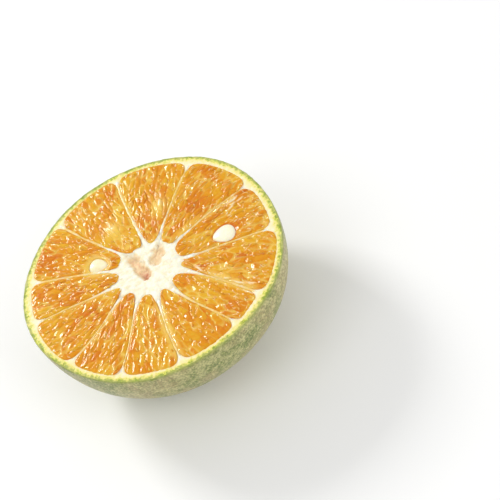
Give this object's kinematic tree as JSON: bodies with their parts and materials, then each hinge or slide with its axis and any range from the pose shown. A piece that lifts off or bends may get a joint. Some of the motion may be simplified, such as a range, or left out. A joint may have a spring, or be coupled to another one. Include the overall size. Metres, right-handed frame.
{
  "type": "halved mandarin orange",
  "caption": "Half of a green-skinned mandarin orange, cut across: a domed peel round orange juice segments, a white star-shaped core and pale seeds.",
  "frame": {"origin": "middle of the small flat spot on the dome that the half rests on", "axes": "+Z along the fruit's core, out of the cut face; +X across the cut face, towards the segments round seed_1"},
  "size_m": [0.0715, 0.0696, 0.0284],
  "materials": {
    "peel": "waxy green rind with fine oil-gland pores",
    "flesh": "wet, translucent orange juice sacs",
    "pith": "soft, fibrous white pith",
    "seed": "smooth ivory seed coat"
  },
  "bodies": {
    "root": {"peel": "peel", "core": "pith", "segment_01": "flesh", "segment_02": "flesh", "segment_03": "flesh", "segment_04": "flesh", "segment_05": "flesh", "segment_06": "flesh", "segment_07": "flesh", "segment_08": "flesh", "segment_09": "flesh", "segment_10": "flesh", "segment_11": "flesh", "segment_12": "flesh", "seed_1": "seed", "seed_2": "seed", "seed_3": "seed", "seed_4": "seed"}
  },
  "joints": []
}
